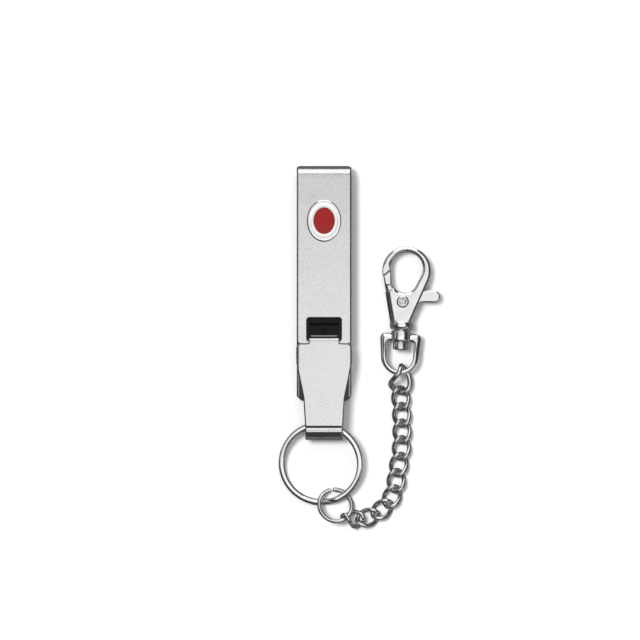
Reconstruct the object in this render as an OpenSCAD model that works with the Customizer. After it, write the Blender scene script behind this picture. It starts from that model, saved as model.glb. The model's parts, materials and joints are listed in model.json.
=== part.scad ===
/* [Belt clip] */
// Width of the folded strip
clip_w = 16.2; // [14:0.1:22]
// Length of the back leaf, from the top of the fold to the free end
clip_l = 69.6; // [62:0.1:90]
// Height over both leaves, from the back face to the front face
clip_t = 7; // [6.8:0.1:9]
// Thickness of the clip's strip
strip_t = 0.9; // [0.7:0.05:1]
// Length of the front leaf, from the top of the fold to its lower end
front_l = 52.86; // [50:0.1:60]
// Width of the window in the front leaf
window_w = 10.3; // [9.9:0.1:12]
// Height of the window
window_h = 7; // [6:0.1:9]
// Height of the bar that is left under the window
bar_h = 0.97; // [0.8:0.01:1.1]

/* [Badge] */
// Distance from the top of the fold to the badge's centre
badge_drop = 16.3; // [14:0.1:20]
// Width of the badge
badge_w = 10.2; // [9:0.1:12]
// Height of the badge
badge_h = 12.5; // [11:0.1:15]
// Thickness of the badge
badge_t = 0.8; // [0.6:0.05:1.2]
// Width of the enamel field
enamel_w = 6.2; // [5:0.1:7]
// Height of the enamel field
enamel_h = 7.8; // [6:0.1:9]

/* [Keeper spring] */
// Width of the keeper spring
keeper_w = 8.9; // [8:0.1:9.4]
// Thickness of the keeper spring
keeper_t = 0.4; // [0.3:0.05:0.5]
// Length of the tab that shows in the window
tab_l = 3.4; // [2.5:0.1:4.5]

/* [Hanger] */
// Thickness of the hanger's strip
hanger_t = 0.8; // [0.6:0.05:0.9]
// Length of the hanger, from its tongue to the bottom of its eye
hanger_l = 30.3; // [28:0.1:36]
// How much wider the shoulders are than the clip
shoulder_extra = 0.3; // [0:0.05:0.6]
// Width of the tongue that hooks into the window
tongue_w = 9.16; // [8.5:0.02:9.6]
// Width where the taper eases
waist_w = 12.24; // [11.5:0.02:13]
// Width of the eye
eye_w = 11.1; // [10:0.1:12]
// Outer radius of the eye's bend
eye_r = 3.3; // [3:0.05:3.6]

/* [Key ring] */
// Outer diameter of the split key ring
ring_d = 25; // [24:0.5:28]
// Width of the ring's wire, across the ring's face
ring_band = 1.63; // [1.4:0.01:1.8]
// Thickness of one turn of the wire
ring_wire_t = 0.88; // [0.7:0.01:0.95]

/* [Chain] */
// Outer diameter of the jump ring
jump_d = 11.1; // [11:0.1:12]
// Wire diameter of the jump ring
jump_wire_d = 1.25; // [1.1:0.01:1.35]
// Wire diameter of a chain link
link_wire_d = 1.2; // [1:0.01:1.25]
// Outer width of a chain link
link_w = 5.8; // [5.6:0.05:6.2]
// Distance from one chain link to the next
link_pitch = 4.93; // [4.8:0.01:5.4]
// Play between two chain links, along the chain
link_play = 0.47; // [0.3:0.01:0.8]
// Size of the first link against the others
first_link_share = 1.29; // [1.25:0.01:1.3]

/* [Snap hook] */
// Thickness of the snap hook's body
hook_t = 4.4; // [4:0.1:5]
// Outer radius of the hook's bow
bow_r = 7.14; // [6.9:0.02:7.6]
// Thickness of the lever
lever_t = 2; // [1.6:0.05:2.2]
// Diameter of the rivet's shank
rivet_d = 2; // [1.6:0.05:2.2]
// Diameter of the collar
collar_d = 6.94; // [6.6:0.02:7.4]
// Diameter of the bail's barrel
barrel_d = 5.8; // [5.4:0.05:6.2]
// Diameter of the swivel pin's shank
pin_d = 2.8; // [2.2:0.05:3]
// Outer width of the bail
bail_w = 12.2; // [11.6:0.1:13]
// Thickness of the bail
bail_t = 1.6; // [1.4:0.1:1.7]

/* [Hidden] */
$fn = 64;

// One overrun for every cut
over = 0.5;
// Play between faces that lie on each other and move
seat_gap = 0.1;
// Play of a fixed pin in its hole
fixed_gap = 0.02;
// Running play of a shaft in its bore, on the radius
run_gap = 0.07;
// How high the lowest pieces stand over the table
table_gap = 0.02;

steel = [0.80, 0.81, 0.82];
bright = [0.86, 0.87, 0.88];
dark_steel = [0.10, 0.10, 0.11];
enamel_red = [0.70, 0.06, 0.07];

// Places on the clip
top_y = clip_l / 2;
bottom_y = -clip_l / 2;
fold_r = clip_t / 2;
front_y = top_y - front_l;
window_y = front_y + bar_h;
badge_y = top_y - badge_drop;
clip_corner_r = 0.7;
leg_corner_r = 1.05;
window_corner_r = 0.8;
back_chamfer_x = 1.5;
back_chamfer_y = 1.3;
post_x = 2.2;
post_r = 0.6;
post_play = 0.2;
post_head_r = 1.1;
post_head_t = 0.3;

// Places on the keeper spring
keeper_play = 0.15;
keeper_front_z = clip_t - strip_t - keeper_play;
keeper_step = 0.55;
keeper_tail = 1.8;
keeper_end_gap = 0.3;
dimple_r = 0.95;
dimple_rise = 0.18;

// Places on the hanger
tongue_play = 0.25;
hook_play = 0.4;
hook_l = 2.4;
bend_in_r = 0.2;
bend_out_r = bend_in_r + hanger_t;
tongue_y = window_y + tongue_play + hanger_t;
plate_z = clip_t + seat_gap;
hook_z = clip_t - strip_t - hook_play;
eye_bottom_y = tongue_y - hanger_l;
eye_y = eye_bottom_y + eye_r;
eye_z = plate_z + hanger_t - eye_r;
eye_lip_angle = 35;
eye_lip_gap = 0.12;
shoulder_y = front_y;
shoulder_w = clip_w + shoulder_extra;
shoulder_r = 1.15;
shoulder_l = 5.35;
tongue_fillet_r = 0.55;
taper_y = shoulder_y - shoulder_l;
waist_drop = 15.76;
flange_bend_r = 1.2;
flange_h = 2;
flange_l = shoulder_l + flange_bend_r;

// Places on the key ring: it lies against the eye, on the jump ring and on the table
ring_x = -1;
ring_drop = 10.3;
ring_tip_x = 8.9;
ring_tip_y = -5.7;
ring_turn_gap = 0.04;
ring_edge = 0.2;
ring_r = ring_d / 2;
ring_mid_r = ring_r - ring_band / 2;
ring_t = 2 * ring_wire_t + ring_turn_gap;
ring_tip = acos(cos(ring_tip_x) * cos(ring_tip_y));
ring_z = ring_r * sin(ring_tip) + ring_t / 2 * cos(ring_tip) + table_gap;
ring_y = eye_y - ring_drop;
ring_split_angle = -66;
ring_cross_angle = 22;
ring_end_gap_angle = 2;
ring_steps = 80;

// Places on the jump ring: its left side lies on the key ring and its right side under it
jump_x = 4.38;
jump_drop = 12.44;
jump_tip_x = -20;
jump_tip_y = 12.2;
jump_lift = 0.1;
jump_wire_r = jump_wire_d / 2;
jump_mid_r = jump_d / 2 - jump_wire_r;
jump_tip = acos(cos(jump_tip_x) * cos(jump_tip_y));
jump_z = jump_wire_r + jump_mid_r * sin(jump_tip) + jump_lift;
jump_place = [ring_x + jump_x, ring_y - jump_drop, jump_z];
jump_gap_angle = 9;
jump_split_angle = 99;

// The chain's run on the table: where it starts from the jump ring's middle, and each link's heading on
// the way to
// the bail, in degrees
start_x = 4.83;
start_y = -4.05;
heading_angles = [-10, 20, 40, 64, 86, 76, 86, 90, 92, 94];
link_twist_angle = 50;
link_power_share = 5 / 6;
link_sides = 8;
link_steps = 24;
tangent_angle = 1;
link_wire_r = link_wire_d / 2;
link_l = link_pitch + 2 * link_wire_d + link_play;
link_half_l = link_l / 2 - link_wire_r;
link_half_w = link_w / 2 - link_wire_r;

// How the first link stands in the bail
first_heading_angle = 89;
first_twist_angle = 60;
first_roll_angle = 26;
first_gap = 0.48;

// How the last link stands over the jump ring's wire, from its place in the chain's run
last_twist_angle = 87;
last_roll_angle = -34;
last_slope_angle = -11.4;
last_heading_angle = -16;
last_x = 0.32;
last_y = 0.15;
last_z = 0.69;

// Places on the snap hook, in its own frame: the origin on the rivet, Y along the swivel
hook_lean_angle = -3;
hold_x = 0.5;
hook_tip_angle = -3;
bow_x = 0.67;
bow_y = 9.29;
bow_eye_r = 4.89;
bow_eye_x = 0.69;
bow_eye_y = 10.07;
low_eye_r = 3.7;
low_eye_x = 0.24;
low_eye_y = 6.24;
neck_y = -6.25;
neck_left_x = -3.3;
neck_right_x = 2.35;
neck_h = 0.4;
seam_out_x = -7;
seam_out_y = 6.75;
seam_in_x = -3.4;
seam_in_y = 9.95;
cheek_out_x = -5.6;
cheek_out_y = 2.75;
cheek_in_x = -3.3;
cheek_in_y = 3.8;
front_left_x = -4.6;
front_left_y = 2.8;
front_neck_x = -2.5;
slot_low_y = -4.2;
slot_high_y = 4.4;
slot_play = 0.1;
arm_out_x = -6.05;
arm_out_y = 7.35;
arm_mid_out_x = -5.3;
arm_mid_out_y = 3.8;
arm_low_out_x = -3.6;
arm_low_out_y = -0.5;
arm_in_x = -4;
arm_in_y = 9.2;
arm_mid_in_x = -3.5;
arm_mid_in_y = 4.9;
arm_low_in_x = -1.6;
arm_low_in_y = 2.4;
arm_t = 3.4;
arm_thick_y = 4.6;
hub_r = 2.9;
tab_x = 9.2;
tab_y = 2.1;
tab_r = 1.75;
tab_root_low_x = 3.2;
tab_root_low_y = -1;
tab_root_high_x = 2.2;
tab_root_high_y = 2.2;
tab_waist_x = 5.6;
tab_waist_y = 0.25;
tab_shoulder_x = 6.3;
tab_shoulder_y = 3.85;
recess_r = 2.3;
recess_h = 0.95;
rivet_head_r = 2;
rivet_head_t = 0.3;
rivet_ring_r = 1.22;
rivet_ring_t = 0.22;
rivet_dimple_r = 0.75;
rivet_dimple_h = 0.35;
spring_wire_r = 0.13;
spring_r = 1.6;
spring_pitch = 0.32;
spring_turns = 2;
spring_steps = 12;
spring_sides = 6;
collar_y = -8.3;
barrel_y = -8.55;
barrel_l = 3.2;
pin_head_y = -12;
pin_head_l = 2.2;
pin_head_r = 2.2;
pin_top_y = -5;
bail_top_y = -9.3;
bail_corner_r = 1.5;
bail_low_r = 5.6;
bail_low_y = -16.1;
bail_in_r = 3.95;
bail_in_y = -16.35;
bail_in_top_y = -11.75;
collar_r = collar_d / 2;
pin_r = pin_d / 2;

function unit(v) = v / norm(v);

// An arc's points, about the point c, from angle a to angle b
function arc(c, r, a, b, n = 8) =
    [for (i = [0:n]) c + r * [cos(a + (b - a) * i / n), sin(a + (b - a) * i / n)]];

// The points of an ellipse
function ellipse(rx, ry, n = 64) = [for (i = [0:n - 1]) [rx * cos(360 * i / n), ry * sin(360 * i / n)]];

// A round wire's section
function round_section(r, n) = [for (i = [0:n - 1]) r * [cos(360 * (i + 0.5) / n), sin(360 * (i + 0.5) / n)]];

// A flat wire's section, with its corners taken off
function flat_section(w, h, e) = [
    [w / 2, -h / 2 + e], [w / 2, h / 2 - e], [w / 2 - e, h / 2], [-w / 2 + e, h / 2],
    [-w / 2, h / 2 - e], [-w / 2, -h / 2 + e], [-w / 2 + e, -h / 2], [w / 2 - e, -h / 2]
];

// A section set square to the run at the point p, with its second side towards m
function placed(p, run, m, section) =
    let (r = unit(run), side = unit(cross(r, m)), rise = cross(side, r))
    [for (s = section) p + s[0] * side + s[1] * rise];

// The faces of a skin over rings of n points
function skin(rings, n, closed) = [
    for (i = [0:rings - (closed ? 1 : 2)], j = [0:n - 1])
        let (k = (j + 1) % n, low = i * n, high = ((i + 1) % rings) * n)
        let (a = low + j, b = low + k, c = high + k, d = high + j)
        each [[a, b, c], [a, c, d]]
];

// A tube that closes on itself
module closed_tube(rings) {
    n = len(rings[0]);
    polyhedron([for (r = rings) each r], skin(len(rings), n, true), convexity = 6);
}

// A tube with two flat ends
module open_tube(rings) {
    n = len(rings[0]);
    last = (len(rings) - 1) * n;
    caps = [[for (j = [0:n - 1]) n - 1 - j], [for (j = [0:n - 1]) last + j]];
    polyhedron([for (r = rings) each r], concat(skin(len(rings), n, false), caps), convexity = 6);
}

// A rectangle with round corners, about the origin
module round_rect(w, h, r) {
    square([w - 2 * r, h], center = true);
    square([w, h - 2 * r], center = true);
    for (x = [-1, 1], y = [-1, 1])
        translate([x * (w / 2 - r), y * (h / 2 - r)]) circle(r);
}

// Carries a profile drawn across the length and the height over a width in X
module across(w) {
    rotate([90, 0, 90]) translate([0, 0, -w / 2]) linear_extrude(w) children();
}

// The front leaf's outline, with its lower corners rounded
module front_outline() {
    h = front_l - fold_r;
    translate([0, front_y + h / 2]) {
        round_rect(clip_w, h, leg_corner_r);
        translate([0, h / 4]) square([clip_w, h / 2], center = true);
    }
}

// The back leaf's outline, with its lower corners cut off
module back_outline() {
    x = clip_w / 2;
    polygon([
        [-x, top_y - fold_r], [-x, bottom_y + back_chamfer_y], [-x + back_chamfer_x, bottom_y],
        [x - back_chamfer_x, bottom_y], [x, bottom_y + back_chamfer_y], [x, top_y - fold_r]
    ]);
}

module posts(r, h) {
    for (x = [-post_x, post_x]) translate([x, badge_y, 0]) cylinder(r = r, h = h);
}

module belt_clip() color(steel) {
    linear_extrude(strip_t) back_outline();
    difference() {
        translate([0, 0, clip_t - strip_t]) linear_extrude(strip_t) difference() {
            front_outline();
            translate([0, window_y + window_h / 2]) round_rect(window_w, window_h, window_corner_r);
        }
        translate([0, 0, clip_t - strip_t - over]) posts(post_r + fixed_gap, strip_t + 2 * over);
    }
    intersection() {
        across(clip_w) translate([top_y - fold_r, fold_r]) difference() {
            circle(fold_r);
            circle(fold_r - strip_t);
            translate([-2 * fold_r, -fold_r]) square(2 * fold_r);
        }
        linear_extrude(clip_t) {
            translate([0, top_y - fold_r]) round_rect(clip_w, 2 * fold_r, clip_corner_r);
        }
    }
}

module badge_plate() color(bright) {
    translate([0, badge_y, clip_t]) difference() {
        linear_extrude(badge_t) polygon(ellipse(badge_w / 2, badge_h / 2));
        translate([0, 0, badge_t / 2])
            linear_extrude(badge_t) polygon(ellipse(enamel_w / 2 + fixed_gap, enamel_h / 2 + fixed_gap));
    }
    head_z = keeper_front_z - keeper_t - keeper_play;
    translate([0, 0, head_z]) posts(post_r, clip_t - head_z);
    translate([0, 0, head_z - post_head_t]) posts(post_head_r, post_head_t);
}

module badge_enamel() color(enamel_red)
    translate([0, badge_y, clip_t + badge_t / 2])
        linear_extrude(badge_t / 4) polygon(ellipse(enamel_w / 2, enamel_h / 2));

module keeper_spring() color(dark_steel) {
    end_y = tongue_y + keeper_end_gap;
    step_y = end_y + tab_l;
    z = keeper_front_z;
    difference() {
        across(keeper_w) polygon([
            [badge_y + keeper_tail, z], [step_y + keeper_step, z], [step_y, z + keeper_step],
            [end_y, z + keeper_step], [end_y, z + keeper_step - keeper_t],
            [step_y - keeper_t / 2, z + keeper_step - keeper_t],
            [step_y + keeper_step - keeper_t / 2, z - keeper_t], [badge_y + keeper_tail, z - keeper_t]
        ]);
        translate([0, 0, z - keeper_t - over]) posts(post_r + post_play, keeper_t + 2 * over);
    }
    translate([0, end_y + tab_l / 2, z + keeper_step])
        cylinder(r1 = dimple_r, r2 = dimple_r / 2, h = dimple_rise);
}

// The hanger's outline, seen from the front
module hanger_outline() {
    s = shoulder_w / 2;
    t = tongue_w / 2;
    f = tongue_fillet_r;
    half = concat(
        [[t, tongue_y]],
        arc([t + f, shoulder_y + f], f, 180, 270),
        arc([s - shoulder_r, shoulder_y - shoulder_r], shoulder_r, 90, 0),
        [[s, taper_y], [waist_w / 2, shoulder_y - waist_drop], [eye_w / 2, eye_y], [eye_w / 2, eye_bottom_y]]
    );
    polygon(concat(half, [for (i = [len(half) - 1:-1:0]) [-half[i][0], half[i][1]]]));
}

// The bend and the hook that go through the window and round behind its bar
module hook_profile() {
    y = tongue_y - bend_out_r;
    high = plate_z - bend_in_r;
    low = hook_z + bend_in_r;
    for (z = [low, high]) translate([y, z]) intersection() {
        difference() {
            circle(bend_out_r);
            circle(bend_in_r);
        }
        translate([0, z == low ? -bend_out_r : 0]) square(bend_out_r);
    }
    translate([y + bend_in_r, low]) square([hanger_t, high - low]);
    translate([y - hook_l, hook_z - hanger_t]) square([hook_l, hanger_t]);
}

// The eye at the bottom: bent round to the back, and up until its lip meets the plate
module eye_profile() {
    lip_l = (plate_z - eye_lip_gap - eye_z + (eye_r - hanger_t) * cos(eye_lip_angle)) / sin(eye_lip_angle);
    translate([eye_y, eye_z]) {
        difference() {
            circle(eye_r);
            circle(eye_r - hanger_t);
            polygon([[0, 0], [0, 2 * eye_r], [2 * eye_r, 2 * eye_r],
                     [2 * eye_r, -2 * eye_r * cos(eye_lip_angle)],
                [2 * eye_r * sin(eye_lip_angle), -2 * eye_r * cos(eye_lip_angle)]]);
        }
        rotate(eye_lip_angle) translate([0, -eye_r]) intersection() {
            square([2 * lip_l, hanger_t]);
            rotate(-eye_lip_angle) translate([-lip_l, -lip_l])
                square([4 * lip_l, lip_l + (lip_l * sin(eye_lip_angle)) + hanger_t * cos(eye_lip_angle)]);
        }
    }
}

// The plate across its width: flat, with each edge bent back at the shoulders
module flange_profile() {
    x = shoulder_w / 2 - flange_bend_r;
    top = plate_z + hanger_t;
    translate([-x, plate_z]) square([2 * x, hanger_t]);
    for (side = [0, 1]) mirror([side, 0]) {
        translate([x, top - flange_bend_r]) intersection() {
            difference() {
                circle(flange_bend_r);
                circle(flange_bend_r - hanger_t);
            }
            square(flange_bend_r);
        }
        translate([x + flange_bend_r - hanger_t, top - flange_h])
            square([hanger_t, flange_h - flange_bend_r]);
    }
}

module hanger_plate() color(steel) {
    flange_y = shoulder_y - flange_l;
    across(tongue_w) hook_profile();
    across(eye_w) eye_profile();
    intersection() {
        translate([0, 0, hook_z]) linear_extrude(clip_t) hanger_outline();
        union() {
            translate([0, shoulder_y, 0]) rotate([90, 0, 0]) linear_extrude(flange_l) flange_profile();
            across(tongue_w) translate([shoulder_y, plate_z])
                square([tongue_y - bend_out_r - shoulder_y, hanger_t]);
            across(shoulder_w) translate([eye_y, plate_z]) square([flange_y - eye_y, hanger_t]);
        }
    }
}

// The height of the split ring's wire after so many degrees of its run
function ring_rise(a) =
    let (h = (ring_wire_t + ring_turn_gap) / 2, s = (a - 360 + ring_cross_angle) / ring_cross_angle)
    s <= 0 ? -h : s >= 1 ? h : -h * cos(180 * s);

module ring_place() translate([ring_x, ring_y, ring_z]) rotate([ring_tip_x, ring_tip_y, 0]) children();

module key_ring() color(bright) {
    run = 720 - ring_cross_angle - ring_end_gap_angle;
    section = flat_section(ring_band, ring_wire_t, ring_edge);
    ring_place() rotate(ring_split_angle) open_tube([
        for (i = [0:ring_steps])
            let (a = run * i / ring_steps)
            placed([ring_mid_r * cos(a), ring_mid_r * sin(a), ring_rise(a)],
                   [-sin(a), cos(a), 0], [0, 0, 1], section)
    ]);
}

module jump_ring() color(bright)
    translate(jump_place) rotate([jump_tip_x, jump_tip_y, 0]) rotate(jump_split_angle + jump_gap_angle / 2)
        rotate_extrude(angle = 360 - jump_gap_angle) translate([jump_mid_r, 0]) circle(jump_wire_r, $fn = 24);

// A twisted link's middle line: an oval, turned about its length in step with the distance from its middle
function power(v) = sign(v) * pow(abs(v), link_power_share);
function link_point(t, k, turn) =
    let (x = k * link_half_l * power(cos(t)), y = k * link_half_w * power(sin(t)), f = turn * power(cos(t)))
    [x, y * cos(f), y * sin(f)];

module link(k, turn) {
    closed_tube([
        for (i = [0:link_steps - 1])
            let (t = 360 * (i + 0.5) / link_steps, f = turn * power(cos(t)))
            let (run = link_point(t + tangent_angle, k, turn) - link_point(t - tangent_angle, k, turn))
            placed(link_point(t, k, turn), run, [0, -sin(f), cos(f)],
                   round_section(k * link_wire_r, link_sides))
    ]);
}

// How far a link reaches above and below its middle
link_rise = max([for (i = [0:90]) link_point(i, 1, link_twist_angle)[2]]) + link_wire_r;
link_z = link_rise + table_gap;
links = len(heading_angles);

// The place of link n's middle, counted from the jump ring
function step(h) = link_pitch / 2 * [cos(h), sin(h), 0];
chain_start = [ring_x + jump_x + start_x, ring_y - jump_drop + start_y, link_z];
function link_place(n) = n == 0 ? chain_start
    : link_place(n - 1) + step(heading_angles[n - 1]) + step(heading_angles[n]);

// Chain links are counted from the snap hook
module chain_link(number) color(bright) {
    n = links + 1 - number;
    translate(link_place(n)) rotate(heading_angles[n]) link(1, link_twist_angle);
}

// The last link is turned over the jump ring's wire
last_place = chain_start + [last_x, last_y, last_z];

module chain_link_11() color(bright)
    translate(last_place)
        rotate([0, -last_slope_angle, last_heading_angle])
            rotate([last_roll_angle, 0, 0]) link(1, last_twist_angle);

// The snap hook's frame leans a little, and its collar and its tip rest on the table
collar_top_y = neck_y + neck_h;
hook_z0 = table_gap + collar_r * cos(hook_tip_angle) - collar_top_y * sin(hook_tip_angle);
bail_strand = bail_in_y - bail_in_r - (bail_low_y - bail_low_r);
hold_y = bail_low_y - bail_low_r + bail_strand / 2;

// The first link rises from the chain to the bail
low_joint = link_place(links - 1) + step(heading_angles[links - 1]);
first_low_l = first_link_share * link_half_l - link_half_l + link_pitch / 2;
first_high_l = first_link_share * (link_half_l - link_wire_r) - bail_strand / 2 - first_gap;
first_slope_angle = asin((hook_z0 + hold_y * sin(hook_tip_angle) - link_z) / (first_low_l + first_high_l));
first_run = [cos(first_slope_angle) * cos(first_heading_angle),
             cos(first_slope_angle) * sin(first_heading_angle),
             sin(first_slope_angle)];
first_place = low_joint + first_run * first_low_l;

module chain_link_01() color(bright)
    translate(first_place)
        rotate([0, -first_slope_angle, first_heading_angle]) rotate([first_roll_angle, 0, 0])
        link(first_link_share, first_twist_angle);

// A run in the hook's frame, turned into the clip's frame
function turned(v) =
    let (y = v[1] * cos(hook_tip_angle) - v[2] * sin(hook_tip_angle))
    let (z = v[1] * sin(hook_tip_angle) + v[2] * cos(hook_tip_angle))
    [v[0] * cos(hook_lean_angle) - y * sin(hook_lean_angle),
     v[0] * sin(hook_lean_angle) + y * cos(hook_lean_angle),
     z];

bail_hold = first_place + first_run * first_high_l;
hook_origin = bail_hold - turned([hold_x, hold_y, 0]);

module hook_place() translate(hook_origin) rotate([hook_tip_angle, 0, hook_lean_angle]) children();

// A round bar along the swivel, from y down by l
module along(y, l, r) {
    translate([0, y, 0]) rotate([90, 0, 0]) cylinder(r = r, h = l);
}

module eye_outline() hull() {
    translate([bow_eye_x, bow_eye_y]) circle(bow_eye_r);
    translate([low_eye_x, low_eye_y]) circle(low_eye_r);
}

module body_outline() difference() {
    hull() {
        translate([bow_x, bow_y]) circle(bow_r);
        translate([neck_left_x, neck_y]) square([neck_right_x - neck_left_x, neck_h]);
    }
    eye_outline();
    polygon([[seam_out_x - over, seam_out_y], [seam_out_x, seam_out_y], [seam_in_x, seam_in_y],
        [low_eye_x, low_eye_y], [cheek_in_x, cheek_in_y], [cheek_out_x, cheek_out_y],
        [cheek_out_x - 2 * over, cheek_out_y]]);
}

module snap_body() color(bright) hook_place() {
    slot_t = lever_t + 2 * slot_play;
    difference() {
        union() {
            translate([0, 0, -hook_t / 2]) linear_extrude(hook_t) body_outline();
            along(collar_top_y, collar_top_y - collar_y, collar_r);
        }
        translate([-bow_r - bow_r, slot_low_y, -slot_t / 2])
            cube([4 * bow_r, slot_high_y - slot_low_y, slot_t]);
        translate([0, 0, slot_t / 2]) linear_extrude(hook_t) polygon([
            [front_left_x, front_left_y], [front_neck_x, collar_top_y],
            [front_neck_x - bow_r, collar_top_y], [front_left_x - bow_r, front_left_y]
        ]);
        translate([0, 0, -hook_t]) cylinder(r = rivet_d / 2 + fixed_gap, h = 2 * hook_t);
        along(pin_top_y + fixed_gap, pin_top_y - collar_y + over, pin_r + fixed_gap);
    }
}

module snap_gate() color(bright) hook_place() {
    arm = [
        [arm_out_x, arm_out_y], [arm_mid_out_x, arm_mid_out_y], [arm_low_out_x, arm_low_out_y],
        [arm_low_in_x, arm_low_in_y], [arm_mid_in_x, arm_mid_in_y], [arm_in_x, arm_in_y]
    ];
    difference() {
        union() {
            translate([0, 0, -lever_t / 2]) linear_extrude(lever_t) {
                circle(hub_r);
                polygon(arm);
                polygon([[tab_root_low_x, tab_root_low_y], [tab_waist_x, tab_waist_y], [tab_x, tab_y - tab_r],
                         [tab_x, tab_y + tab_r], [tab_shoulder_x, tab_shoulder_y],
                         [tab_root_high_x, tab_root_high_y]]);
                translate([tab_x, tab_y]) circle(tab_r);
            }
            translate([0, 0, -arm_t / 2]) linear_extrude(arm_t) intersection() {
                polygon(arm);
                translate([-bow_r, arm_thick_y]) square(bow_r);
            }
        }
        translate([0, 0, -lever_t]) cylinder(r = rivet_d / 2 + run_gap, h = 2 * lever_t);
        translate([0, 0, -lever_t / 2 - over]) cylinder(r = recess_r, h = recess_h + over);
    }
}

module gate_rivet() color(steel) hook_place() {
    cylinder(r = rivet_d / 2, h = hook_t, center = true);
    for (side = [0, 1]) mirror([0, 0, side]) translate([0, 0, hook_t / 2]) difference() {
        union() {
            cylinder(r = rivet_head_r, h = rivet_head_t);
            cylinder(r = rivet_ring_r, h = rivet_head_t + rivet_ring_t);
        }
        translate([0, 0, rivet_head_t + rivet_ring_t - rivet_dimple_h])
            cylinder(r = rivet_dimple_r, h = rivet_dimple_h + over);
    }
}

module gate_spring() color(steel) hook_place() {
    z = -lever_t / 2 + spring_wire_r;
    rings = spring_turns * spring_steps;
    open_tube([
        for (i = [0:rings])
            let (a = 360 * i / spring_steps, rise = spring_pitch * i / spring_steps)
            placed([spring_r * cos(a), spring_r * sin(a), z + rise], [-sin(a), cos(a), 0], [0, 0, 1],
                round_section(spring_wire_r, spring_sides))
    ]);
}

module swivel_pin() color(steel) hook_place() {
    along(pin_top_y, pin_top_y - pin_head_y, pin_r);
    along(pin_head_y, pin_head_l, pin_head_r);
}

module swivel_bail() color(bright) hook_place() {
    corner_x = bail_w / 2 - bail_corner_r;
    difference() {
        union() {
            translate([0, 0, -bail_t / 2]) linear_extrude(bail_t) difference() {
                hull() {
                    for (x = [-corner_x, corner_x])
                        translate([x, bail_top_y - bail_corner_r]) circle(bail_corner_r);
                    translate([0, bail_low_y]) circle(bail_low_r);
                }
                hull() {
                    translate([0, bail_in_y]) circle(bail_in_r);
                    translate([-bail_in_r, bail_in_top_y - over]) square([2 * bail_in_r, over]);
                }
            }
            along(barrel_y, barrel_l, barrel_d / 2);
        }
        along(barrel_y + over, barrel_l + 2 * over, pin_r + run_gap);
    }
}

belt_clip();
badge_plate();
badge_enamel();
keeper_spring();
hanger_plate();
key_ring();
jump_ring();
chain_link_01();
chain_link(2);  // chain_link_02
chain_link(3);  // chain_link_03
chain_link(4);  // chain_link_04
chain_link(5);  // chain_link_05
chain_link(6);  // chain_link_06
chain_link(7);  // chain_link_07
chain_link(8);  // chain_link_08
chain_link(9);  // chain_link_09
chain_link(10);  // chain_link_10
chain_link_11();
swivel_bail();
swivel_pin();
snap_body();
snap_gate();
gate_rivet();
gate_spring();
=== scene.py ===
import json
import math

import bpy
import numpy as np
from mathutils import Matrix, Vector
from bpy.props import FloatProperty, FloatVectorProperty, IntProperty, PointerProperty
from bpy.types import Operator, Panel, PropertyGroup


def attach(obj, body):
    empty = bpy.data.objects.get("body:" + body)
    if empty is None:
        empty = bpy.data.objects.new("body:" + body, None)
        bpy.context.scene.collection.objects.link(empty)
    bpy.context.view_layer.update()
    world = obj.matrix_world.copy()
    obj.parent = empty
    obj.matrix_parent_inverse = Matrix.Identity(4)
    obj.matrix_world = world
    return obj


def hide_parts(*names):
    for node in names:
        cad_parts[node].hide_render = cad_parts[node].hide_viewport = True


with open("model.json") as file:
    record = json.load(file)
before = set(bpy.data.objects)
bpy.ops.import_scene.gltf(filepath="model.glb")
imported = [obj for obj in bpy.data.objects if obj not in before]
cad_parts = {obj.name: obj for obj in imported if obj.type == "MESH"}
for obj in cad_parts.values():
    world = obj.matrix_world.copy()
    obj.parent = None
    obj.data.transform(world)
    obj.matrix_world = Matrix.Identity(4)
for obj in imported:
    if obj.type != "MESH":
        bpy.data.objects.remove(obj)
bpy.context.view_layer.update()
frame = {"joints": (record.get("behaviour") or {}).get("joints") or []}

bl_info = {
    "name": "Belt Key Clip",
    "version": (1, 0, 0),
    "blender": (4, 5, 0),
    "location": "View3D > Sidebar > Key Clip",
    "description": "Builds a belt clip with its hanger, key ring, curb chain and snap hook",
    "category": "Add Mesh",
}

MM = 0.001
JOINTS = {joint["name"]: joint for joint in frame["joints"]}


def joint_place(name):
    """A joint's place in millimetres."""
    return np.array(JOINTS[name]["pos_m"]) / MM


def joint_axis(name):
    """A joint's axis."""
    return np.array(JOINTS[name]["axis"])


# Sizes and colours that a user would change


def length(name, description, default, low, high=100.0):
    """A length, written in millimetres and kept in metres."""
    return FloatProperty(name=name, description=description, unit="LENGTH", precision=5,
                         default=default * MM, min=low * MM, max=high * MM)


def opaque(name, description, red, green, blue):
    """An opaque colour."""
    return FloatVectorProperty(name=name, description=description, subtype="COLOR", size=4, min=0, max=1,
                               default=(red, green, blue, 1))


class ClipSizes(PropertyGroup):
    """Sizes of the clip's strip and of the hanger's strip"""

    edge: length("Edge radius", "Rounding of the strips' edges", 0.52, 0.02, 0.6)
    strip: length("Strip thickness", "Thickness of the clip's strip", 0.9, 0.3)
    hanger_strip: length("Hanger thickness", "Thickness of the hanger's strip", 0.8, 0.3)
    keeper_strip: length("Keeper thickness", "Thickness of the keeper spring", 0.4, 0.1)


class RingSizes(PropertyGroup):
    """Sizes of the rings and of the chain's links"""

    link_wire: length("Link wire", "Wire diameter of a chain link", 1.2, 0.4)
    jump_wire: length("Jump ring wire", "Wire diameter of the jump ring", 1.25, 0.4)
    ring_band: length("Split ring band", "Width of the split ring's wire", 1.63, 0.4)
    around: IntProperty(name="Steps round a wire", description="Faces round a wire's section",
                        default=24, min=8, max=64)
    along: IntProperty(name="Steps along a link", description="Faces along a link's middle line",
                       default=112, min=24, max=256)


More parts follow.
